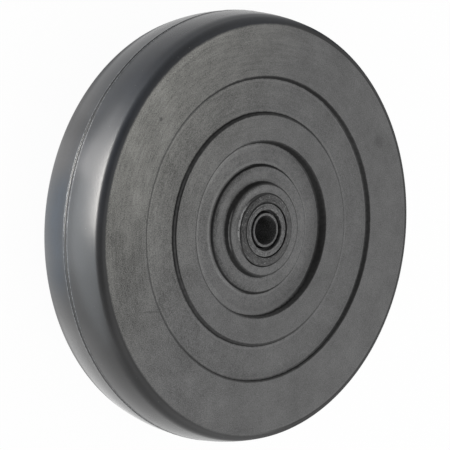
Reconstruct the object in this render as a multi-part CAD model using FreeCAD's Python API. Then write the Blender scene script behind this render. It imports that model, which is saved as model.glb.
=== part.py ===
import FreeCAD, Part
import math
import os

# Caster wheel, lying on its side. +Z runs along the axle, out of the face that shows, and the origin is
# the middle of the wheel on its axis. Both faces are alike. All sizes are in millimetres.

# Axle sleeve: a plain steel tube that the axle bolt passes through. Its ends lie a little inside the hub tube.
SLEEVE_BORE = 8.5
SLEEVE_WALL = 0.75
SLEEVE_SINK = 0.4
SLEEVE_EDGE_CHAMFER = 0.15

# Rollers, which run between the sleeve and the hub tube
ROLLER_COUNT = 10
ROLLER_DIAMETER = 2.9
ROLLER_RUNNING_CLEARANCE = 0.05
ROLLER_END_CLEARANCE = 0.1
ROLLER_END_CHAMFER = 0.2

# Cage that keeps the rollers apart
CAGE_WALL = 2.3
CAGE_END_RING = 1.5
CAGE_END_PLAY = 0.2
CAGE_POCKET_CLEARANCE = 0.06
CAGE_EDGE_CHAMFER = 0.2

# Hub tube in the middle of the moulding, coned down from its bore to its outside at both ends. It stands out
# from the rim's flat faces on both sides.
TUBE_WALL = 2.7
TUBE_STANDOUT = 1.7
TUBE_END_FLAT = 0.4
TUBE_CONE_DROP = 0.65

# Washers pressed into the ends of the hub tube, to keep the bearing in
WASHER_THICKNESS = 1.2
WASHER_SINK = 0.12
WASHER_SLEEVE_GAP = 1.0
WASHER_EDGE_CHAMFER = 0.15

# Rubber wheel
WHEEL_DIAMETER = 127.0
WHEEL_WIDTH = 25.4
CROWN_DROP = 2.1
SHOULDER_ROUNDING = 2.5
PARTING_RIDGE_HEIGHT = 0.15
PARTING_RIDGE_WIDTH = 0.6
PARTING_RIDGE_TOP = 0.2

# Steps of the wheel's face, named from the hub outwards. Each height or depth is from the rim's flat face,
# each width is of the flat's top edge, and each wall leans by its slope.
BOSS_WIDTH = 2.7
BOSS_HEIGHT = 0.8
BOSS_WALL_SLOPE = 0.85
HUB_LAND_WIDTH = 4.05
HUB_LAND_DEPTH = 1.2
HUB_LAND_WALL_SLOPE = 0.4
DISH_WIDTH = 5.85
DISH_DEPTH = 2.25
DISH_WALL_SLOPE = 1.25
RIB_WIDTH = 7.65
GROOVE_WIDTH = 9.4
GROOVE_DEPTH = 0.95
GROOVE_INNER_SLOPE = 0.9
GROOVE_OUTER_SLOPE = 0.8
STEP_EDGE_ROUNDING = 0.3
STEP_ROOT_ROUNDING = 0.35
BOSS_EDGE_ROUNDING = 0.5

# What follows from the sizes above
SLEEVE_BORE_RADIUS = SLEEVE_BORE / 2
SLEEVE_RADIUS = SLEEVE_BORE_RADIUS + SLEEVE_WALL
ROLLER_RADIUS = ROLLER_DIAMETER / 2
ROLLER_PITCH_RADIUS = SLEEVE_RADIUS + ROLLER_RUNNING_CLEARANCE + ROLLER_RADIUS
TUBE_BORE_RADIUS = ROLLER_PITCH_RADIUS + ROLLER_RADIUS + ROLLER_RUNNING_CLEARANCE
TUBE_RADIUS = TUBE_BORE_RADIUS + TUBE_WALL
TUBE_LENGTH = WHEEL_WIDTH + 2 * TUBE_STANDOUT
SLEEVE_LENGTH = TUBE_LENGTH - 2 * SLEEVE_SINK
WASHER_OUTER_FACE = TUBE_LENGTH / 2 - WASHER_SINK
BEARING_LENGTH = 2 * (WASHER_OUTER_FACE - WASHER_THICKNESS)
CAGE_LENGTH = BEARING_LENGTH - 2 * CAGE_END_PLAY
POCKET_LENGTH = CAGE_LENGTH - 2 * CAGE_END_RING
ROLLER_LENGTH = POCKET_LENGTH - 2 * ROLLER_END_CLEARANCE
TREAD_RADIUS = WHEEL_DIAMETER / 2 - PARTING_RIDGE_HEIGHT
FACE_HEIGHT = WHEEL_WIDTH / 2
CROWN_ARC = (FACE_HEIGHT**2 + CROWN_DROP**2) / (2 * CROWN_DROP)

AXIS_POINT = FreeCAD.Vector(0, 0, 0)
AXIS = FreeCAD.Vector(0, 0, 1)


def section_point(radius, height):
    return FreeCAD.Vector(radius, 0, height)


def line(start, end):
    return Part.LineSegment(start, end).toShape()


def corner_arc(before, corner, after, radius):
    """The start, middle and end of the arc that rounds a corner between two straight sides."""
    to_before = (before - corner).normalize()
    to_after = (after - corner).normalize()
    half_angle = to_before.getAngle(to_after) / 2
    reach = radius / math.tan(half_angle)
    bisector = (to_before + to_after).normalize()
    centre = corner + bisector * (radius / math.sin(half_angle))
    return corner + to_before * reach, centre - bisector * radius, corner + to_after * reach


def rounded_path(corners):
    """Edges along a row of (radius, height, rounding) corners. The first and last are its ends."""
    points = [section_point(radius, height) for radius, height, _ in corners]
    edges = []
    position = points[0]
    for index in range(1, len(points) - 1):
        rounding = corners[index][2]
        if rounding == 0:
            edges.append(line(position, points[index]))
            position = points[index]
            continue
        start, middle, end = corner_arc(points[index - 1], points[index], points[index + 1], rounding)
        edges.append(line(position, start))
        edges.append(Part.Arc(start, middle, end).toShape())
        position = end
    edges.append(line(position, points[-1]))
    return edges


def turned(edges):
    """A solid turned about the axle from the edges of a closed section."""
    return Part.Face(Part.Wire(Part.sortEdges(edges)[0])).revolve(AXIS_POINT, AXIS, 360)


def turned_ring(inner, outer, bottom, top, chamfer):
    """A ring of rectangular section with its four corners cut at 45 degrees."""
    outline = [
        (inner + chamfer, bottom, 0),
        (outer - chamfer, bottom, 0),
        (outer, bottom + chamfer, 0),
        (outer, top - chamfer, 0),
        (outer - chamfer, top, 0),
        (inner + chamfer, top, 0),
        (inner, top - chamfer, 0),
        (inner, bottom + chamfer, 0),
        (inner + chamfer, bottom, 0),
    ]
    return turned(rounded_path(outline))


def crown_radius(height):
    """How far the crowned tread lies from the axis at a height."""
    return TREAD_RADIUS - CROWN_ARC + math.sqrt(CROWN_ARC**2 - height**2)


def face_steps():
    """The corners of one face of the rubber wheel, from the hub tube out to the shoulder."""
    boss_top = FACE_HEIGHT + BOSS_HEIGHT
    hub_land = FACE_HEIGHT - HUB_LAND_DEPTH
    dish_floor = FACE_HEIGHT - DISH_DEPTH
    groove_floor = FACE_HEIGHT - GROOVE_DEPTH
    radius = TUBE_RADIUS
    corners = [(radius, boss_top, 0)]
    radius += BOSS_WIDTH
    corners.append((radius, boss_top, BOSS_EDGE_ROUNDING))
    radius += BOSS_WALL_SLOPE
    corners.append((radius, hub_land, STEP_ROOT_ROUNDING))
    radius += HUB_LAND_WIDTH
    corners.append((radius, hub_land, STEP_EDGE_ROUNDING))
    radius += HUB_LAND_WALL_SLOPE
    corners.append((radius, dish_floor, STEP_ROOT_ROUNDING))
    radius += DISH_WIDTH
    corners.append((radius, dish_floor, STEP_ROOT_ROUNDING))
    radius += DISH_WALL_SLOPE
    corners.append((radius, FACE_HEIGHT, STEP_EDGE_ROUNDING))
    radius += RIB_WIDTH
    corners.append((radius, FACE_HEIGHT, STEP_EDGE_ROUNDING))
    radius += GROOVE_INNER_SLOPE
    corners.append((radius, groove_floor, STEP_ROOT_ROUNDING))
    radius += GROOVE_WIDTH
    corners.append((radius, groove_floor, STEP_ROOT_ROUNDING))
    radius += GROOVE_OUTER_SLOPE
    corners.append((radius, FACE_HEIGHT, STEP_EDGE_ROUNDING))
    return corners


def shoulder_points():
    """The upper shoulder's arc, tangent to the flat face and to the crown: its start, middle and end."""
    centre_height = FACE_HEIGHT - SHOULDER_ROUNDING
    crown_centre = TREAD_RADIUS - CROWN_ARC
    centre_radius = crown_centre + math.sqrt((CROWN_ARC - SHOULDER_ROUNDING) ** 2 - centre_height**2)
    crown_angle = math.atan2(centre_height, centre_radius - crown_centre)
    points = []
    for angle in (math.pi / 2, (math.pi / 2 + crown_angle) / 2, crown_angle):
        radius = centre_radius + SHOULDER_ROUNDING * math.cos(angle)
        points.append((radius, centre_height + SHOULDER_ROUNDING * math.sin(angle)))
    return points


def tread_edges():
    """Both shoulders and the crowned tread between them, with the parting ridge round its middle."""
    shoulder = shoulder_points()
    ridge_half = PARTING_RIDGE_WIDTH / 2
    ridge_foot = crown_radius(ridge_half)
    ridge_crest = WHEEL_DIAMETER / 2
    mid_height = (shoulder[2][1] + ridge_half) / 2
    crown = [shoulder[2], (crown_radius(mid_height), mid_height), (ridge_foot, ridge_half)]
    edges = []
    for side in (1, -1):
        for arc in (shoulder, crown):
            points = [section_point(radius, side * height) for radius, height in arc]
            edges.append(Part.Arc(*points).toShape())
    ridge = [
        (ridge_foot, ridge_half, 0),
        (ridge_crest, PARTING_RIDGE_TOP / 2, 0),
        (ridge_crest, -PARTING_RIDGE_TOP / 2, 0),
        (ridge_foot, -ridge_half, 0),
    ]
    return edges + rounded_path(ridge)


def make_rubber_wheel():
    upper = face_steps() + [(*shoulder_points()[0], 0)]
    lower = [(radius, -height, rounding) for radius, height, rounding in upper]
    bore = [upper[0], lower[0]]
    return turned(rounded_path(upper) + tread_edges() + rounded_path(lower) + rounded_path(bore))


def make_hub_tube():
    end = TUBE_LENGTH / 2
    flat_edge = TUBE_BORE_RADIUS + TUBE_END_FLAT
    outline = [
        (TUBE_BORE_RADIUS, -end, 0),
        (flat_edge, -end, 0),
        (TUBE_RADIUS, TUBE_CONE_DROP - end, 0),
        (TUBE_RADIUS, end - TUBE_CONE_DROP, 0),
        (flat_edge, end, 0),
        (TUBE_BORE_RADIUS, end, 0),
        (TUBE_BORE_RADIUS, -end, 0),
    ]
    return turned(rounded_path(outline))


def make_retaining_washer(side):
    """A washer pressed into the tube's end: side is 1 at the front and -1 at the rear."""
    faces = sorted([side * WASHER_OUTER_FACE, side * (WASHER_OUTER_FACE - WASHER_THICKNESS)])
    hole = SLEEVE_RADIUS + WASHER_SLEEVE_GAP
    return turned_ring(hole, TUBE_BORE_RADIUS, faces[0], faces[1], WASHER_EDGE_CHAMFER)


def roller_centre(index, height):
    angle = 2 * math.pi * index / ROLLER_COUNT
    x = ROLLER_PITCH_RADIUS * math.cos(angle)
    y = ROLLER_PITCH_RADIUS * math.sin(angle)
    return FreeCAD.Vector(x, y, height)


def make_roller_cage():
    """A ring with a round pocket for each roller. Its wall is thinner than the rollers, so they show."""
    inner = ROLLER_PITCH_RADIUS - CAGE_WALL / 2
    outer = ROLLER_PITCH_RADIUS + CAGE_WALL / 2
    ring = turned_ring(inner, outer, -CAGE_LENGTH / 2, CAGE_LENGTH / 2, CAGE_EDGE_CHAMFER)
    pocket_radius = ROLLER_RADIUS + CAGE_POCKET_CLEARANCE
    pockets = [
        Part.makeCylinder(pocket_radius, POCKET_LENGTH, roller_centre(index, -POCKET_LENGTH / 2), AXIS)
        for index in range(ROLLER_COUNT)
    ]
    return ring.cut(Part.makeCompound(pockets))


def make_roller(index):
    roller = Part.makeCylinder(ROLLER_RADIUS, ROLLER_LENGTH, roller_centre(index, -ROLLER_LENGTH / 2), AXIS)
    rims = [edge for edge in roller.Edges if isinstance(edge.Curve, Part.Circle)]
    return roller.makeChamfer(ROLLER_END_CHAMFER, rims)


def make_axle_sleeve():
    end = SLEEVE_LENGTH / 2
    return turned_ring(SLEEVE_BORE_RADIUS, SLEEVE_RADIUS, -end, end, SLEEVE_EDGE_CHAMFER)


pieces = {
    "rubber_wheel": make_rubber_wheel(),
    "hub_tube": make_hub_tube(),
    "front_retaining_washer": make_retaining_washer(1),
    "rear_retaining_washer": make_retaining_washer(-1),
    "roller_cage": make_roller_cage(),
    "axle_sleeve": make_axle_sleeve(),
}
for number in range(ROLLER_COUNT):
    pieces[f"roller_{number + 1:02d}"] = make_roller(number)

os.makedirs("parts", exist_ok=True)
for name, shape in pieces.items():
    shape.exportStep(f"parts/{name}.step")
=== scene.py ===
import math

import bpy
import numpy as np
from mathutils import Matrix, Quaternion, Vector


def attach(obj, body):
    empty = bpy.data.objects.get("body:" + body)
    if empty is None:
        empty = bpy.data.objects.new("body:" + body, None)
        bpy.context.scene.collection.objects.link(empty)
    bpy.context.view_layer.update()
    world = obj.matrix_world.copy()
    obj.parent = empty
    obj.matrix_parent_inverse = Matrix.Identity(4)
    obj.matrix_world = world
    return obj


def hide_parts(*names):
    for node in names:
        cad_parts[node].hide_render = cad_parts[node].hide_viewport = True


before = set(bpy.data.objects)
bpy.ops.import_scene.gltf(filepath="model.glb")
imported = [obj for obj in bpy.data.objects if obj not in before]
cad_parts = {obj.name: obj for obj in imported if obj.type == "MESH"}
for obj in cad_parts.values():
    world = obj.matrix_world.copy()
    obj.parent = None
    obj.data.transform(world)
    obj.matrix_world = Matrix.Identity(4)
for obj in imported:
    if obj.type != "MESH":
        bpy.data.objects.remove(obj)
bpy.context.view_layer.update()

# Camera of the photograph, found from the rings of the face. The wheel lies on its side: in the picture up is -X
# and right is +Y, so the camera looks down on the wheel and is rolled.
camera_data = bpy.data.cameras.new("camera")
camera_data.lens = 207.4486
camera_data.sensor_width = 36
camera_data.clip_start = 0.05
camera = bpy.data.objects.new("camera", camera_data)
camera.location = (-0.044262, -0.517622, 0.557457)
camera.rotation_mode = "QUATERNION"
camera.rotation_quaternion = Quaternion((0.6481846, 0.2308481, -0.2825894, 0.6683631))
bpy.context.scene.collection.objects.link(camera)
bpy.context.scene.camera = camera

# Sizes in millimetres, as in the construction
WHEEL_RADIUS = 63.5
TREAD_RADIUS = 63.35
CROWN_DROP = 2.1
SHOULDER_ROUNDING = 2.5
FLAT_RADIUS = 58.9
FACE_HEIGHT = 12.7
BOSS_TOP = 13.5
HUB_LAND = 11.5
DISH_FLOOR = 10.45
GROOVE_FLOOR = 11.75
TUBE_RADIUS = 10.7
TUBE_BORE = 8.0
TUBE_END = 14.4
WASHER_HOLE = 6.0
WASHER_FACE = 14.28
WASHER_BACK = 13.08
WASHER_MIDDLE = 7.0
SLEEVE_BORE = 4.25
SLEEVE_RADIUS = 5.0
SLEEVE_END = 14.0
ROLLER_COUNT = 10

# How finely each turned piece is divided round the axle
WHEEL_SEGMENTS = 384
TUBE_SEGMENTS = 192
WASHER_SEGMENTS = 160
SLEEVE_SEGMENTS = 128


# Meshes
def rounded(corners, arc_steps=4):
    """Points along a row of (radius, height, rounding) corners, with a point beside each rounding to keep the
    flats flat."""
    beside, room = 0.12, 0.3
    points = [np.array(corners[0][:2])]
    for before, corner, after in zip(corners, corners[1:], corners[2:]):
        here, rounding = np.array(corner[:2]), corner[2]
        if rounding == 0:
            points.append(here)
            continue
        back = np.array(before[:2]) - here
        on = np.array(after[:2]) - here
        back_length, on_length = np.linalg.norm(back), np.linalg.norm(on)
        back, on = back / back_length, on / on_length
        half = math.acos(np.clip(back @ on, -1, 1)) / 2
        reach = rounding / math.tan(half)
        centre = here + (back + on) / np.linalg.norm(back + on) * rounding / math.sin(half)
        start, end = here + back * reach - centre, here + on * reach - centre
        turn = math.atan2(start[0] * end[1] - start[1] * end[0], start @ end)
        if back_length > reach + room:
            points.append(here + back * (reach + beside))
        for step in range(arc_steps + 1):
            angle = turn * step / arc_steps
            cos, sin = math.cos(angle), math.sin(angle)
            points.append(centre + np.array([start[0] * cos - start[1] * sin, start[0] * sin + start[1] * cos]))
        if on_length > reach + room:
            points.append(here + on * (reach + beside))
    points.append(np.array(corners[-1][:2]))
    return points


def both_halves(half):
    """A closed outline from the half of it that runs from the middle of the bore round the upper end."""
    return half[:-1] + [(radius, -height) for radius, height in reversed(half)][:-1]


def lathe(name, outline, segments, body, node, shift=None):
    """A closed outline of (radius, height) points turned about the axle, standing for a node."""
    outline = np.array(outline)
    ahead = np.roll(outline, -1, axis=0)
    if (outline[:, 0] * ahead[:, 1] - ahead[:, 0] * outline[:, 1]).sum() < 0:
        outline = outline[::-1]
    count = len(outline)
    angle = np.repeat(np.arange(segments) * 2 * math.pi / segments, count)
    radius = np.tile(outline[:, 0], segments)
    height = np.tile(outline[:, 1], segments)
    if shift:
        radius, height = shift(angle, radius, height)
    vertices = np.stack([radius * np.cos(angle), radius * np.sin(angle), height], 1) / 1000
    ring = np.arange(segments)[:, None] * count
    next_ring = (np.arange(segments)[:, None] + 1) % segments * count
    along, next_along = np.arange(count)[None], (np.arange(count)[None] + 1) % count
    quads = np.stack([ring + along, next_ring + along, next_ring + next_along, ring + next_along], -1)
    mesh = bpy.data.meshes.new(name)
    mesh.from_pydata(vertices.tolist(), [], quads.reshape(-1, 4).tolist())
    mesh.polygons.foreach_set("use_smooth", [True] * len(mesh.polygons))
    mesh.update()
    piece = bpy.data.objects.new(name, mesh)
    bpy.context.scene.collection.objects.link(piece)
    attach(piece, body)
    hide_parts(node)
    return piece


def ripple(angle, seed, waves):
    """A smooth value of about -1 to 1 that wanders round the circle, the same on every run."""
    random = np.random.default_rng(seed)
    total = np.zeros_like(angle)
    for wave in waves:
        total += random.uniform(0.5, 1.0) * np.cos(wave * angle + random.uniform(0, 2 * math.pi))
    return total / math.sqrt(len(waves))


def degrees_from(angle, direction):
    """How far angles in radians lie from a direction in degrees."""
    return np.abs((np.degrees(angle) - direction + 180) % 360 - 180)


def face_corners(side):
    """One face of the wheel, from the hub tube out to the shoulder. The edges are as crisp as on the real one."""
    lip = ((0, 13.2), (0, 13.3), (0, 13.38), (0.02, 13.44), (0.08, 13.49))
    lip += tuple((out, BOSS_TOP) for out in (0.18, 0.3, 0.45, 0.65, 0.9))
    corners = [(TUBE_RADIUS + out, height, 0) for out, height in lip]
    corners += [
        (13.5, BOSS_TOP, 0.4),
        (14.15, HUB_LAND, 0.35),
        (18.4, HUB_LAND, 0.25),
        (18.95, DISH_FLOOR, 0.25),
        (25.1, DISH_FLOOR, 0.3),
        (25.8, FACE_HEIGHT, 0.3),
        (33.45, FACE_HEIGHT, 0.35),
        (34.3, GROOVE_FLOOR, 0.25),
        (43.75, GROOVE_FLOOR, 0.35),
        (44.5, FACE_HEIGHT, 0.2),
        (FLAT_RADIUS, FACE_HEIGHT, 0),
    ]
    return [(radius, side * height, rounding) for radius, height, rounding in corners]


def tread_points():
    """The tread from the upper shoulder to the lower one, with a ridge on each side of the parting line's cleft."""
    arc = (FACE_HEIGHT**2 + CROWN_DROP**2) / (2 * CROWN_DROP)
    crown_centre = TREAD_RADIUS - arc
    shoulder_height = FACE_HEIGHT - SHOULDER_ROUNDING
    shoulder_radius = crown_centre + math.sqrt((arc - SHOULDER_ROUNDING) ** 2 - shoulder_height**2)
    tangent = math.atan2(shoulder_height, shoulder_radius - crown_centre)
    points = []
    for angle in np.linspace(math.pi / 2, tangent, 13):
        radius = shoulder_radius + SHOULDER_ROUNDING * math.cos(angle)
        points.append((radius, shoulder_height + SHOULDER_ROUNDING * math.sin(angle)))
    for height in np.linspace(arc * math.sin(tangent), 1.5, 12)[1:]:
        points.append((crown_centre + math.sqrt(arc**2 - height**2), height))
    ridge = ((0, 0.7), (0.01, 0.58), (0.08, 0.48), (0.09, 0.4), (0.01, 0.3), (-0.12, 0.2), (-0.14, 0.08))
    points += [(TREAD_RADIUS + out, height) for out, height in ridge]
    return points + [(radius, -height) for radius, height in reversed(points)]


def parting_line(angle, radius, height):
    """Uneven flash along the parting line, whose two lips part furthest on one side."""
    near = (np.abs(height) < 0.72) & (radius > 60)
    crest = np.exp(-(((np.abs(height) - 0.45) / 0.2) ** 2))
    uneven = ripple(angle + 3 * np.sign(height), 5, (3, 7, 13, 31, 53, 71, 97, 131))
    flash = np.minimum(radius + 0.035 * uneven * crest, WHEEL_RADIUS)
    widest = np.exp(-((degrees_from(angle, 270) / 40) ** 2))
    parted = height * (1 + 0.7 * widest) + 0.05 * ripple(angle, 8, (2, 5, 11, 23))
    return np.where(near, flash, radius), np.where(near, parted, height)


def hub_lip(angle, radius, height):
    """A thin lip of rubber that crept over the coned end of the tube on one side."""
    foot = 13.25
    near = (radius < 11.55) & (np.abs(height) > foot)
    away = degrees_from(angle, np.where(height > 0, 245.0, 95.0))
    lip = np.clip((88 - away) / 45, 0, 1) * (1 + 0.12 * ripple(angle, 11, (9, 17, 29, 41)))
    burr = np.clip(1.3 - away / 35, 0, 1) * np.clip(ripple(angle, 12, (11, 23, 37, 61, 83)), -0.3, None)
    inward = np.clip((11.45 - radius) / 0.75, 0, 1)
    inward = inward * inward * (3 - 2 * inward)
    rise = np.clip((np.abs(height) - foot) / 0.15, 0, 1)
    height = np.where(near, height + np.sign(height) * (0.47 * lip + 0.1 * burr * rise) * inward, height)
    return np.where(near, radius - 0.42 * lip * inward * rise, radius), height


def rubber_flash(angle, radius, height):
    radius, height = parting_line(angle, radius, height)
    return hub_lip(angle, radius, height)


def tube_dents(angle, radius, height):
    """The coned end of the tube isn't quite true."""
    coned = (np.abs(height) > 13.5) & (radius > TUBE_BORE + 0.3)
    height = np.where(coned, height - np.sign(height) * 0.02 * (1 + ripple(angle, 21, (2, 3, 7, 16))), height)
    return radius, np.clip(height, -TUBE_END, TUBE_END)


upper, lower = rounded(face_corners(1)), rounded(face_corners(-1))
wheel_outline = upper + tread_points() + lower[::-1]
wheel = lathe("wheel_rubber", wheel_outline, WHEEL_SEGMENTS, "wheel", "rubber_wheel", rubber_flash)

tube_corners = [
    (TUBE_BORE, 0, 0),
    (TUBE_BORE, TUBE_END, 0.12),
    (8.4, TUBE_END, 0.3),
    (10.55, 13.8, 0.12),
    (10.62, 13.2, 0),
    (10.68, 12.9, 0),
    (10.68, 0, 0),
]
tube_outline = both_halves(rounded(tube_corners))
tube = lathe("hub_tube_steel", tube_outline, TUBE_SEGMENTS, "wheel", "hub_tube", tube_dents)

washer_corners = [
    (WASHER_MIDDLE, WASHER_BACK, 0),
    (TUBE_BORE - 0.02, WASHER_BACK, 0.1),
    (TUBE_BORE - 0.02, 13.9, 0),
    (7.72, 14.2, 0.12),
    (7.45, WASHER_FACE, 0.15),
    (6.55, WASHER_FACE - 0.04, 0.1),
    (6.42, WASHER_FACE, 0.06),
    (WASHER_HOLE, WASHER_FACE, 0.18),
    (WASHER_HOLE, WASHER_BACK, 0.1),
    (WASHER_MIDDLE, WASHER_BACK, 0),
]
washers = []
for side, place in ((1, "front"), (-1, "rear")):
    outline = [(radius, side * height) for radius, height in rounded(washer_corners, 3)[:-1]]
    node = f"{place}_retaining_washer"
    washers.append(lathe(f"{place}_washer_steel", outline, WASHER_SEGMENTS, "wheel", node))

sleeve_corners = [
    (SLEEVE_BORE, 0, 0),
    (SLEEVE_BORE, SLEEVE_END, 0.12),
    (SLEEVE_RADIUS, SLEEVE_END, 0.2),
    (SLEEVE_RADIUS, 0, 0),
]
sleeve_outline = both_halves(rounded(sleeve_corners, 5))
sleeve = lathe("sleeve_steel", sleeve_outline, SLEEVE_SEGMENTS, "axle", "axle_sleeve")


# Nodes
def feed(tree, value, socket):
    """Links a number or an output to an input, or sets the input to a plain value."""
    if isinstance(value, Number):
        value = value.socket
    if isinstance(value, bpy.types.NodeSocket):
        tree.links.new(value, socket)
    else:
        socket.default_value = value


def add_node(tree, kind, inputs=None, **settings):
    made = tree.nodes.new(kind)
    for name, value in settings.items():
        setattr(made, name, value)
    for name, value in (inputs or {}).items():
        feed(tree, value, made.inputs[name])
    return made


class Number:
    """A number that nodes work out at each point, with the usual arithmetic."""

    def __init__(self, tree, socket):
        self.tree = tree
        self.socket = socket

    def arithmetic(self, operation, first, second=0.0):
        made = add_node(self.tree, "ShaderNodeMath", {0: first, 1: second}, operation=operation)
        return Number(self.tree, made.outputs[0])

    def __add__(self, other):
        return self.arithmetic("ADD", self, other)

    def __sub__(self, other):
        return self.arithmetic("SUBTRACT", self, other)

    def __rsub__(self, other):
        return self.arithmetic("SUBTRACT", other, self)

    def __mul__(self, other):
        return self.arithmetic("MULTIPLY", self, other)

    def __truediv__(self, other):
        return self.arithmetic("DIVIDE", self, other)

    def __abs__(self):
        return self.arithmetic("ABSOLUTE", self)

    def at_least(self, other):
        """The greater of the two."""
        return self.arithmetic("MAXIMUM", self, other)

    def below(self, other):
        """1 where it's smaller than the other, and 0 elsewhere."""
        return self.arithmetic("LESS_THAN", self, other)

    def clamped(self):
        """The result of arithmetic, kept between 0 and 1."""
        self.socket.node.use_clamp = True
        return self

    def step(self, low, high, bottom=0.0, top=1.0):
        """Bottom before low and top beyond high, which may be the smaller one, with a smooth change between."""
        inputs = {0: self, 1: low, 2: high, 3: bottom, 4: top}
        made = add_node(self.tree, "ShaderNodeMapRange", inputs, interpolation_type="SMOOTHSTEP")
        return Number(self.tree, made.outputs[0])

    def band(self, low, full, lasts, high):
        """1 between full and lasts, falling to 0 at low and high."""
        return self.step(low, full) * self.step(high, lasts)


def greatest(numbers):
    result, *others = numbers
    for other in others:
        result = result.at_least(other)
    return result


def varied(*parts):
    """1 and a sum of (noise, weight) pairs, each noise taken about its middle."""
    result = 1.0
    for noise, weight in parts:
        result = (noise - 0.5) * weight + result
    return result


def grey(level):
    return (level, level, level, 1)


class Shader:
    """A material's nodes. Its lengths are in millimetres, and its radius is from the axle."""

    def __init__(self, name):
        self.material = bpy.data.materials.new(name)
        self.material.use_nodes = True
        self.tree = self.material.node_tree
        self.surface = self.tree.nodes["Principled BSDF"]
        place = self.add("ShaderNodeTexCoord").outputs["Object"]
        self.place = self.add("ShaderNodeMapping", {"Vector": place, "Scale": (1000, 1000, 1000)}).outputs[0]
        self.x, self.y, self.z = self.split(self.place)
        self.height = abs(self.z)
        flat = self.add("ShaderNodeCombineXYZ", {"X": self.x, "Y": self.y}).outputs[0]
        length = self.add("ShaderNodeVectorMath", {0: flat}, operation="LENGTH")
        self.radius = Number(self.tree, length.outputs["Value"])

    def add(self, kind, inputs=None, **settings):
        return add_node(self.tree, kind, inputs, **settings)

    def split(self, vector):
        outputs = self.add("ShaderNodeSeparateXYZ", {0: vector}).outputs
        return [Number(self.tree, output) for output in outputs]

    def along(self, x, y):
        """How far a point lies along a direction of the face."""
        return self.x * x + self.y * y

    def noise(self, vector, scale, detail=2.0, roughness=0.5):
        inputs = {"Vector": vector, "Scale": scale, "Detail": detail, "Roughness": roughness}
        return Number(self.tree, self.add("ShaderNodeTexNoise", inputs).outputs[0])

    def arcs(self, around, across, seed):
        """Coordinates in which noise becomes arcs round the axle."""
        inputs = {
            "X": self.x / self.radius * around,
            "Y": self.y / self.radius * around,
            "Z": self.radius * across + seed,
        }
        return self.add("ShaderNodeCombineXYZ", inputs).outputs[0]

    def blob(self, x, y, size_x, size_y):
        """1 in the middle of a soft spot, falling to 0."""
        across = (self.x - x) / size_x
        along = (self.y - y) / size_y
        return (across * across + along * along).step(1.0, 0.0)

    def specks(self, scale, size, share):
        """Small dots in a share of the cells of a lattice."""
        cells = self.add("ShaderNodeTexVoronoi", {"Vector": self.place, "Scale": scale})
        kept = self.split(cells.outputs["Color"])[0].below(share)
        return Number(self.tree, cells.outputs["Distance"]).step(size, size * 0.4) * kept

    def mix(self, factor, first, second):
        """The first colour where the factor is 0, and the second where it's 1."""
        return self.add("ShaderNodeMix", {0: factor, 6: first, 7: second}, data_type="RGBA").outputs[2]

    def shade(self, colour, factor):
        """A colour made lighter or darker by a factor."""
        return self.add("ShaderNodeVectorMath", {0: colour, "Scale": factor}, operation="SCALE").outputs[0]

    def bump(self, height, distance):
        made = self.add("ShaderNodeBump", {"Height": height, "Distance": distance, "Strength": 1.0})
        feed(self.tree, made.outputs[0], self.surface.inputs["Normal"])

    def finish(self, **inputs):
        for name, value in inputs.items():
            feed(self.tree, value, self.surface.inputs[name.replace("_", " ")])
        return self.material


# Where the face drops or rises: radii between which the rubber darkens, stays dark and turns pale again, and the
# radii of the painted line of shade in it
STEPS = (
    (12.95, 13.3, 14.0, 14.25, 13.6, 14.05),
    (18.1, 18.35, 19.0, 19.2, 18.45, 19.05),
    (24.85, 25.05, 25.85, 26.15, 25.05, 25.6),
    (33.1, 33.45, 34.2, 34.4, 33.95, 34.3),
    (43.65, 43.85, 44.55, 44.85, 43.85, 44.4),
)
# Painted shade that reaches further in from two steps: its four radii, the Y at which it starts on the right of the
# picture, and how much of it there is on the left
REACHING_SHADE = ((24.3, 24.6, 25.2, 25.4, 8.0, 0.0), (43.3, 43.5, 44.0, 44.2, 18.0, 0.5))
# Pale lines painted as light on the flats beside the steps' feet
PAINTED_LIGHT_LINES = ((14.5, 15.3), (19.2, 19.9), (24.1, 24.7), (34.5, 35.2), (42.9, 43.5))
# Bands painted pale as light on the upper left: their four radii, how far towards it they start and are full, and how
# pale
PAINTED_LIGHT_BANDS = (
    (10.8, 11.0, 12.0, 12.6, 0.85, 0.98, 0.2),
    (14.1, 14.4, 15.6, 17.3, 0.4, 0.8, 0.3),
    (18.8, 19.0, 19.6, 20.3, 0.2, 0.6, 0.32),
)
# A pit, a soft dark spot and a short scratch across the groove's edge: where, how large and how dark
MARKS = (
    (-31.0, -41.4, 0.8, 0.8, 0.6),
    (-26.8, 46.3, 2.6, 2.6, 0.25),
    (23.1, -41.0, 0.35, 4.6, 0.4),
)


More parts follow.
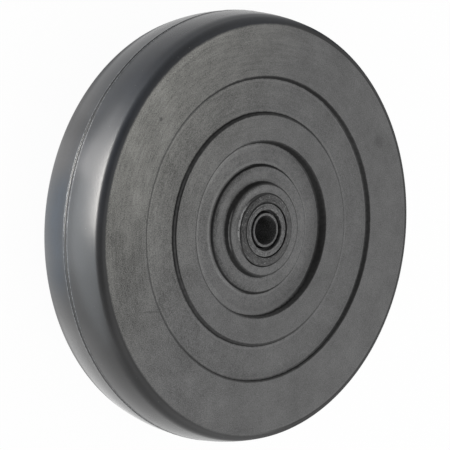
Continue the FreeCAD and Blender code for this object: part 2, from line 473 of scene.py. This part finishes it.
class WheelRubber(Shader):
    """One moulding: the flats ground pale and dull, the steps between them dark, the skin of the tread nearly
    black and smooth, with a pale rough parting line. Left, right, top and bottom are those of the picture."""

    def __init__(self):
        super().__init__("moulded_rubber")
        self.left_half = self.y.step(4.0, -12.0)
        self.rightward = self.y / self.radius
        self.upper_left = self.along(-0.72, -0.69) / self.radius
        self.lowest = (self.along(0.96, 0.28) / self.radius).step(0.7, 0.85)
        self.rear_half = self.z.step(3.0, -6.0) * self.left_half

        self.mottle = self.noise(self.place, 0.5, 4.0, 0.6)
        self.grain = self.noise(self.place, 3.0, 2.0, 0.7)
        self.fine_arcs = self.noise(self.arcs(14, 3.0, 9), 1.0, 3.0, 0.7)
        self.bloom = self.noise(self.place, 0.12, 3.0, 0.55)
        drawn_out = self.add("ShaderNodeMapping", {"Vector": self.place, "Scale": (1, 1, 0.25)}).outputs[0]
        self.streaks = self.noise(drawn_out, 0.5, 4.0, 0.6)

        # The radius, ragged, and held back at two of the steps at the bottom
        ragged = (self.noise(self.arcs(40, 0.3, 0), 1.0, 3.0) - 0.5) * 0.35
        held = self.radius.band(24.0, 24.5, 25.2, 25.6).at_least(self.radius.band(42.8, 43.3, 44.1, 44.4))
        self.reach = self.radius + ragged - held * self.lowest * 0.22

        # The foot of the second step on the left, painted pale as lit flat rubber in place of the dark wall
        foot = self.radius.band(18.3, 18.5, 19.3, 19.6) * self.height.step(10.95, 10.7)
        self.foot = foot * self.rightward.step(-0.05, -0.6)
        self.wall = self.walls()

        # The cleft of the parting line, painted near black as shade in it, and the chalky ridge on each side of it
        parting = self.height.step(1.3, 1.1)
        self.cleft = self.radius.step(TREAD_RADIUS - 0.03, TREAD_RADIUS - 0.07) * parting
        ridge = self.radius.step(TREAD_RADIUS + 0.02, TREAD_RADIUS + 0.06) * parting
        self.chalk = ridge * self.noise(self.place, 1.6, 3.0, 0.7).step(0.45, 0.6)

        # The grinding ran out over the shoulder on the right
        self.edge = self.reach - self.along(0.26, 0.97).step(-35.0, 15.0) * 0.9
        # Dull over the shoulder, least where it's turned to the light side of the floor
        self.matte = greatest(
            (
                self.height.step(8.5, 10.5) * self.y.step(0.0, 20.0),
                self.height.step(8.5, 11.0) * (self.x.step(12.0, 50.0) * 0.75),
                self.height.step(7.0, 10.0) * (self.x.step(-20.0, -50.0) * 0.6),
            )
        )

    def walls(self):
        """1 on the steps and where shade is painted beside them."""
        walls = [self.radius.step(TUBE_RADIUS + 0.25, TUBE_RADIUS + 0.1)]
        walls += [self.reach.band(*radii) for *radii, _, _ in STEPS]
        for *radii, right_start, left_share in REACHING_SHADE:
            reaching = self.y.step(right_start, right_start + 16.0) + self.y.step(-10.0, -30.0) * left_share
            walls.append(self.reach.band(*radii) * reaching)
        # Painted shade on the rounded top edge of the dish's wall on the left
        walls.append(self.reach.band(25.6, 25.75, 26.0, 26.3) * self.left_half)
        return greatest(walls) * (1.0 - self.foot)

    def flat_level(self):
        """How pale the ground flats are."""
        clouds = self.noise(self.place, 0.09, 2.0, 0.6)
        wide_arcs = self.noise(self.arcs(5, 1.1, 3), 1.0, 3.0, 0.6)
        scored = varied((wide_arcs, 1.0), (self.fine_arcs, 0.8)) - 1.0
        scored = scored * (self.along(-0.77, -0.64).step(-10.0, 45.0) * 0.6 + 0.25)
        level = varied((clouds, 0.9), (self.mottle, 0.55), (self.grain, 2.5))
        # Painted shading of the relief: the texture is stronger on the left, where the light rakes the face
        level = (level + scored - 1.0) * (self.y.step(10.0, -45.0) * 0.4 + 0.7) + 1.0

        # Darker towards the second step's edge on the left, and painted light along the steps' feet: pale lines, pale
        # bands by the dish's wall, the pale foot of the second step and pale bands on the upper left
        level = level - self.radius.band(16.2, 18.2, 18.4, 18.5) * self.left_half * 0.6
        for inner, outer in PAINTED_LIGHT_LINES:
            level = level + self.reach.band(inner, inner + 0.15, outer - 0.15, outer) * 0.2
        painted_light_band = self.radius.band(22.9, 23.6, 24.4, 24.9) * self.left_half
        painted_light_band = painted_light_band.at_least(self.radius.band(23.0, 24.4, 24.95, 25.1) * self.x.step(-5.0, 15.0))
        level = level + painted_light_band * 0.35
        level = level + self.radius.band(23.6, 24.4, 25.0, 25.1) * self.lowest.step(0.0, 1.0) * 0.25
        level = level + self.foot * 0.6
        for *radii, start, full, share in PAINTED_LIGHT_BANDS:
            level = level + self.radius.band(*radii) * self.upper_left.step(start, full) * share

        # Broad pale and dark patches, the paler hub, a painted shadow in a crescent on the boss and a smudge
        level = level + self.blob(-20.0, -46.0, 26.0, 13.0) * 0.19
        level = level - self.blob(5.5, -54.8, 7.0, 4.0) * 0.24
        level = level * (self.radius.step(26.0, 25.0) * 0.12 + 1.0)
        level = level - self.radius.band(12.0, 13.2, 13.6, 13.7) * self.upper_left.step(0.7, 0.95) * 0.65
        return level - self.blob(17.0, -49.0, 22.0, 9.0) * self.mottle.step(0.38, 0.62) * 0.3

    def flats(self):
        flat = self.mix(self.along(-0.5, -0.866).step(4.0, 66.0), grey(0.111), (0.166, 0.165, 0.153, 1))
        flat = self.shade(flat, self.flat_level())
        flat = self.mix(self.specks(0.55, 0.12, 0.2) * 0.5, flat, grey(0.03))
        flat = self.mix(self.specks(0.8, 0.1, 0.15) * 0.4, flat, grey(0.3))
        marks = greatest(self.blob(*spot) * share for *spot, share in MARKS)
        flat = self.mix(marks, flat, grey(0.02))
        rim = self.radius.band(56.8, 57.8, 58.8, 59.2) * self.along(-0.77, -0.64).step(48.0, 57.0)
        flat = self.shade(flat, rim * 0.18 + 1.0)
        scuffs = self.noise(self.arcs(22, 1.6, 31), 1.0, 2.0, 0.5).step(0.6, 0.74)
        scuffs = scuffs * self.blob(-31.0, -43.0, 22.0, 14.0)
        return self.mix(scuffs * 0.35, flat, grey(0.3))

    def slopes(self):
        """The steps' colour: bare rubber with a painted line of shade in each, and painted reflection and painted
        light in places.
        """
        radius, reach = self.radius, self.reach
        left_end = self.rightward.step(-0.8, -0.97)
        sideways = abs(self.rightward).step(0.3, 0.9)
        # A painted line of shade along each step
        shade_line = greatest(
            reach.band(inner - 0.15, inner + 0.1, outer - 0.1, outer + 0.15) for *_, inner, outer in STEPS
        )
        shade_line = shade_line * (0.97 - sideways * 0.6)
        # The fourth step has two painted lines of shade at its left end, with a painted reflection on the wall
        # between them
        double = radius.band(33.3, 33.4, 33.6, 33.7).at_least(radius.band(33.95, 34.05, 34.35, 34.5))
        shade_line = shade_line.at_least(double * (left_end * 0.8))
        bare_and_streak = self.mix(sideways, grey(0.03), grey(0.05))
        bare_and_streak = self.mix(radius.band(33.0, 33.4, 34.4, 34.8) * left_end, bare_and_streak, grey(0.085))
        slope = self.mix(shade_line, bare_and_streak, grey(0.003))
        # A painted reflection along the boss's edge at its left end, and painted light on the outer half of two walls
        # at the bottom
        # Painted reflection as a pale streak on the boss's wall
        painted_streak = self.height.band(12.75, 12.9, 13.15, 13.3) * self.left_half * radius.step(15.0, 14.5)
        painted_streak = painted_streak * self.upper_left.step(0.97, 0.85) * self.rightward.step(-0.86, -0.97)
        slope = self.mix(painted_streak, slope, grey(0.24))
        # Painted light on the outer half of two walls at the bottom, which face the light
        outer_half = reach.band(25.1, 25.5, 26.2, 26.5).at_least(reach.band(43.9, 44.3, 44.9, 45.2))
        outer_half = outer_half * (self.x / radius).step(0.3, 0.9)
        slope = self.mix(outer_half * 0.8, slope, grey(0.065))
        dirt = self.noise(self.place, 0.9, 4.0, 0.65)
        return self.shade(slope, varied((dirt, 1.6)))

    def torn_lip_and_glint(self):
        """1 where the lip over the hub tube has torn pale, painted brighter as a glint along its edge."""
        torn = self.noise(self.place, 1.2, 3.0, 0.7).step(0.3, 0.5)
        torn = torn * self.radius.step(TUBE_RADIUS + 0.3, TUBE_RADIUS)
        torn = torn * self.blob(-1.9, -10.5, 8.0, 8.0)
        return torn * self.height.step(13.55, 13.7)

    def skin(self):
        """The tread as it left the mould, bluish towards the top as painted light, with painted reflections on the
        rear half of the left side.
        """
        # Bluish towards the top, a painted tint of the bluish light falling there
        skin = self.mix(self.x.step(20.0, -25.0), (0.011, 0.011, 0.0115, 1), (0.009, 0.011, 0.015, 1))
        # Painted reflections on the rear half of the left side
        for place, reflection_tint in (
            (abs(self.x).step(28.0, 10.0), (0.009, 0.02, 0.035, 1)),
            (self.x.band(-45.0, -30.0, -18.0, -8.0), (0.028, 0.028, 0.03, 1)),
            (self.x.step(15.0, 35.0), grey(0.035)),
        ):
            skin = self.mix(self.rear_half * place, skin, reflection_tint)
        skin = self.shade(skin, varied((self.bloom, 1.0), (self.grain, 1.5)))
        skin = self.mix(self.specks(0.7, 0.13, 0.12) * 0.35, skin, grey(0.2))
        skin = self.mix(self.cleft, skin, grey(0.003))
        return self.mix(self.chalk * 0.45, skin, (0.34, 0.36, 0.38, 1))

    def roughness(self):
        dull = self.y.step(0.0, 35.0) * 0.35 + 0.38
        dull = dull - abs(self.x).step(35.0, 60.0) * 0.12
        dull = dull - self.x.step(12.0, 40.0) * self.rear_half * 0.15
        skin = varied((self.bloom, 0.3), (self.streaks, 0.25)) * dull + self.chalk * 0.2
        skin = (skin + self.matte * 0.5).clamped()
        return self.mix(self.edge.step(60.6, 59.3), skin, self.wall * 0.25 + 0.62)

    def shine(self):
        """Handled to a shine on the left side of the tread, away from the shoulder."""
        shine = self.z.step(10.0, -1.0) * self.y.step(-28.0, -50.0)
        shine = shine * 0.5 + self.y.step(15.0, -20.0) * 0.45
        for place, loss in (
            (self.x.step(-16.0, -30.0), 0.4),
            (self.x.step(-32.0, -50.0), 0.3),
            (self.x.band(-34.0, -29.0, -27.0, -22.0), 0.2),
            (self.x.band(8.0, 16.0, 24.0, 32.0), 0.3),
        ):
            shine = shine * (1.0 - place * loss)
        return shine * (self.edge.step(58.9, 60.2) * (1.0 - self.matte))

    def made(self):
        face = self.mix(self.wall, self.flats(), self.slopes())
        # Pale torn rubber on the lip, painted brighter as a glint
        face = self.mix(self.torn_lip_and_glint(), face, grey(0.33))
        ground = self.edge.step(59.7, 58.9)
        colour = self.mix(ground, self.skin(), face)
        # A dark line painted over the shoulder on the right, as shade along the outline
        right_line = self.radius.band(59.45, 59.8, 60.5, 61.0) * self.y.step(-5.0, 20.0)
        colour = self.mix(right_line, colour, grey(0.01))
        ripples = self.noise(self.place, 1.4, 3.0, 0.6)
        skin_relief = varied((ripples, 0.15), (self.streaks, 0.15), (self.grain, 0.12))
        flat_relief = varied((self.fine_arcs, 0.6), (self.mottle, 0.5), (self.grain, 0.4))
        self.bump(self.mix(ground, skin_relief, flat_relief), 0.00008)
        return self.finish(
            Base_Color=colour,
            Roughness=self.roughness(),
            IOR=1.43,
            Coat_Weight=self.shine(),
            Coat_Roughness=0.3,
        )


def steel(name, level, roughness, metallic, arcs, stains_and_shadow=0.0):
    """Dull steel with marks of turning, stain, dirt where the pieces meet and a shadow painted on one side."""
    s = Shader(name)
    turned = s.noise(s.arcs(3, 6, 2), 1.0, 4.0, 0.7)
    scratched = s.noise(s.arcs(9, 5, 7), 1.0, 2.0, 0.6)
    stain = s.noise(s.place, 0.8, 4.0, 0.6)
    fine = s.noise(s.place, 4.0, 2.0)
    marks = varied((turned, 3 * arcs), (stain, 2.0), (fine, 2.5), (scratched, 4 * arcs))
    colour = s.shade(grey(level)[:3], marks.at_least(0.1))
    colour = s.mix(scratched.step(0.64, 0.72) * arcs, colour, grey(0.4))
    colour = s.mix(s.specks(0.9, 0.3, 0.3) * stains_and_shadow, colour, grey(0.01))
    colour = s.mix(s.specks(1.3, 0.16, 0.12) * stains_and_shadow, colour, grey(0.5))

    # Dirt in the seam round the washer, in a score on it and under the lip of rubber, on the side of the lip
    toward_lip = s.along(-0.42, -0.91)
    under_lip = toward_lip.step(3.0, 8.0) * 0.7
    lip_side = toward_lip.step(1.0, 5.0)
    seam = abs(s.radius - (TUBE_BORE - 0.02)) - lip_side * 0.14
    colour = s.mix(seam.step(0.26, 0.1), colour, grey(0.006))
    score = s.radius.band(6.9, 7.05, 7.2, 7.35) * lip_side
    colour = s.mix(score * 0.8, colour, grey(0.01))
    colour = s.mix((s.radius + under_lip).step(10.3, 10.5), colour, grey(0.008))

    # A shadow painted on one side, deeper on the more stained pieces
    shadowed = s.along(0.94, 0.34).step(-4.0, 9.0)
    colour = s.shade(colour, 1.0 - shadowed * (0.5 * stains_and_shadow))
    if stains_and_shadow:
        colour = s.mix(stain.step(0.5, 0.75) * stains_and_shadow, colour, (0.03, 0.027, 0.024, 1))
    inside = s.radius.step(SLEEVE_BORE + 0.2, SLEEVE_BORE + 0.05) * s.height.step(SLEEVE_END - 0.05, SLEEVE_END - 0.3)
    colour = s.mix(inside, colour, s.mix(fine.step(0.4, 0.75), grey(0.07), grey(0.33)))
    s.bump(turned + stain, 0.00003)
    return s.finish(Base_Color=colour, Roughness=varied((stain, 0.5)) * roughness, Metallic=metallic)


def black_nylon():
    s = Shader("black_nylon")
    cloud = s.noise(s.place, 0.9, 3.0)
    s.bump(s.noise(s.place, 6.0, 2.0), 0.00002)
    return s.finish(Base_Color=s.mix(cloud, grey(0.012), grey(0.03)), Roughness=cloud * 0.2 + 0.4)


def paint(piece, material):
    """Gives a piece its material. A frame's node keeps its own slot, with a better material in it."""
    if len(piece.material_slots):
        piece.material_slots[0].material = material
    else:
        piece.data.materials.append(material)


paint(wheel, WheelRubber().made())
paint(tube, steel("dull_tube_steel", 0.06, 0.55, 0.4, 0.9, 0.5))
washer_steel = steel("dull_washer_steel", 0.1, 0.5, 0.4, 0.6)
for washer in washers:
    paint(washer, washer_steel)
paint(sleeve, steel("sleeve_tube_steel", 0.1, 0.45, 0.5, 0.3))
paint(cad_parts["roller_cage"], black_nylon())
roller_steel = steel("ground_roller_steel", 0.45, 0.28, 0.9, 0.2)
for number in range(1, ROLLER_COUNT + 1):
    paint(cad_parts[f"roller_{number:02d}"], roller_steel)


# Floor
def floor_material():
    """A matt floor that shows as the white backdrop, with the wheel's shadow faintly in it."""
    material = bpy.data.materials.new("pale_floor")
    material.use_nodes = True
    tree = material.node_tree
    surface = tree.nodes["Principled BSDF"]
    surface.inputs["Base Color"].default_value = grey(0.9)
    surface.inputs["Roughness"].default_value = 0.9
    surface.inputs["Specular IOR Level"].default_value = 0.0
    glow = add_node(tree, "ShaderNodeEmission")
    rays = add_node(tree, "ShaderNodeLightPath").outputs
    seen = Number(tree, rays["Is Camera Ray"]) + rays["Is Glossy Ray"] + rays["Is Transmission Ray"]
    glowing = (seen * 0.97).clamped()
    mixed = add_node(tree, "ShaderNodeMixShader", {0: glowing, 1: surface.outputs[0], 2: glow.outputs[0]})
    feed(tree, mixed.outputs[0], tree.nodes["Material Output"].inputs["Surface"])
    return material


floor_mesh = bpy.data.meshes.new("floor")
half = 3.0
floor_mesh.from_pydata([(-half, -half, 0), (half, -half, 0), (half, half, 0), (-half, half, 0)], [], [(0, 1, 2, 3)])
floor = bpy.data.objects.new("floor", floor_mesh)
floor.location = (0, 0, -TUBE_END / 1000)
bpy.context.scene.collection.objects.link(floor)
paint(floor, floor_material())


# Light
def area_lamp(name, place, turn, width, depth, power, colour=(1, 1, 1)):
    light = bpy.data.lights.new(name, "AREA")
    light.shape = "RECTANGLE"
    light.size = width
    light.size_y = depth
    light.energy = power
    light.color = colour
    lamp = bpy.data.objects.new(name, light)
    lamp.location = place
    lamp.rotation_mode = "QUATERNION"
    lamp.rotation_quaternion = turn
    bpy.context.scene.collection.objects.link(lamp)
    return lamp


direction = Vector((0.75, 0.3, 0.6))
area_lamp("main_softbox", direction.normalized() * 1.6, direction.to_track_quat("Z", "Y"), 1.2, 1.2, 9)

# Lamps that lie on the floor beside the wheel, out of the picture, and light the tread and not the face
LAMP_HEIGHT = -0.0135
FACING_UP = (0, 1, 0, 0)
for name, x, y, width, depth, power, colour in (
    ("floor_strip", -0.05, -0.19, 0.115, 0.13, 1.2, (1.0, 0.97, 0.93)),
    ("floor_patch", -0.048, -0.1025, 0.05, 0.055, 0.034, (1.0, 0.99, 0.98)),
    ("floor_glow", -0.035, -0.17, 0.23, 0.18, 0.26, (0.88, 0.95, 1.0)),
):
    lamp = area_lamp(name, (x, y, LAMP_HEIGHT), FACING_UP, width, depth, power, colour)
    lamp.visible_camera = False

# A pale studio: darkest on the camera's side, light along the horizon. It shows white to the camera, and in
# reflections only on the sides away from it.
world = bpy.data.worlds.new("studio")
bpy.context.scene.world = world
world.use_nodes = True
sky = world.node_tree
toward = add_node(sky, "ShaderNodeTexCoord").outputs["Generated"]
away = add_node(sky, "ShaderNodeVectorMath", {0: toward, 1: (0.3, 0.8, -0.3)}, operation="DOT_PRODUCT")
away = Number(sky, away.outputs["Value"])
up = Number(sky, add_node(sky, "ShaderNodeSeparateXYZ", {0: toward}).outputs[2])
level = away.step(-0.6, 0.4, 0.32, 1.15) + up.step(0.0, 0.3, 0.45, 0.0)
rays = add_node(sky, "ShaderNodeLightPath").outputs
mirrored = Number(sky, rays["Is Glossy Ray"]) + rays["Is Transmission Ray"]
white = (Number(sky, rays["Is Camera Ray"]) + mirrored * away.step(-0.6, 0.0)).clamped()
background = sky.nodes["Background"]
background.inputs["Color"].default_value = grey(1)
feed(sky, level.at_least(white), background.inputs["Strength"])

bpy.context.scene.view_settings.view_transform = "Standard"
